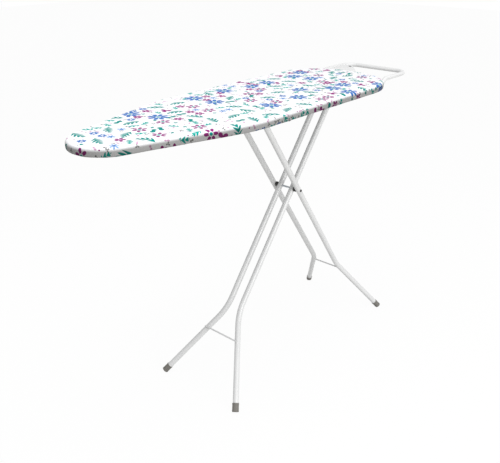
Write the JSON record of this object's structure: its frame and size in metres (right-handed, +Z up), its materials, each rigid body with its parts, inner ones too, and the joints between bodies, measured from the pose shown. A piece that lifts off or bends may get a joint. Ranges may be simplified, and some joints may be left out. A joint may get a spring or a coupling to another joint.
{
  "type": "ironing board",
  "caption": "Free-standing folding ironing board: padded printed cover on a steel mesh top, crossed white tube legs with spread feet, and a tube rest for the iron.",
  "frame": {"origin": "on the floor, under the centre of the object's box", "axes": "+X from the nose to the heel and iron rest, +Y across to the far side, +Z up"},
  "size_m": [1.305, 0.376, 0.888],
  "materials": {
    "printed_cotton": "white woven cotton with a small floral print",
    "wool_felt": "needled grey-white felt",
    "woven_elastic": "flat woven elastic",
    "white_enamel": "white powder-coated steel",
    "zinc_steel": "zinc-plated steel",
    "charcoal_plastic": "moulded dark plastic",
    "soft_grip": "dipped soft vinyl",
    "foot_rubber": "moulded warm grey rubber"
  },
  "bodies": {
    "board": {"cover": "printed_cotton", "felt_pad": "wool_felt", "hem_elastic": "woven_elastic", "mesh_panel": "zinc_steel", "rim_frame": "white_enamel", "pivot_strap": "white_enamel", "rack_strap_heel": "white_enamel", "rack_strap_nose": "white_enamel", "pivot_bracket": "zinc_steel", "pivot_axle": "zinc_steel", "pivot_washers": "charcoal_plastic", "rack_rail_near": "zinc_steel", "rack_rail_far": "zinc_steel", "lever_bearings": "charcoal_plastic", "lever_spring": "zinc_steel", "rest_frame": "white_enamel", "rest_corner_plate": "white_enamel", "rest_saddles": "zinc_steel", "rest_clamps": "zinc_steel", "rest_screws": "zinc_steel", "rest_plugs": "charcoal_plastic"},
    "lever": {"lever_rod": "zinc_steel", "lever_grip": "soft_grip", "lock_pawl": "zinc_steel"},
    "inner_leg": {"inner_tube_near": "white_enamel", "inner_tube_far": "white_enamel", "inner_sleeve": "white_enamel", "inner_brace": "white_enamel", "inner_plugs": "charcoal_plastic", "inner_foot_near": "foot_rubber", "inner_foot_far": "foot_rubber", "crossing_axle": "zinc_steel", "crossing_spacers": "charcoal_plastic", "crossing_caps": "charcoal_plastic"},
    "outer_leg": {"outer_tube_near": "white_enamel", "outer_tube_far": "white_enamel", "outer_crossbar": "zinc_steel", "crossbar_caps": "charcoal_plastic", "outer_brace": "white_enamel", "outer_plugs": "charcoal_plastic", "outer_foot_near": "foot_rubber", "outer_foot_far": "foot_rubber"}
  },
  "joints": [
    {"name": "fold", "type": "hinge", "parent": "board", "child": "inner_leg", "pos_m": [0.3395, 0, 0.85], "axis": [0, 1, 0], "range_deg": [0, 51.61]},
    {"name": "crossing", "type": "hinge", "parent": "inner_leg", "child": "outer_leg", "pos_m": [0.12537, 0, 0.568], "axis": [0, 1, 0], "range_deg": [-105.75, 0]},
    {"name": "release_lever", "type": "hinge", "parent": "board", "child": "lever", "pos_m": [-0.12653, 0, 0.873], "axis": [0, -1, 0], "range_deg": [0, 6], "stiffness_Nm_per_rad": 0.8, "springref_deg": -20.05}
  ],
  "couplings": [
    {"joint": "crossing", "follows": "fold", "ratio": -2.0488}
  ]
}
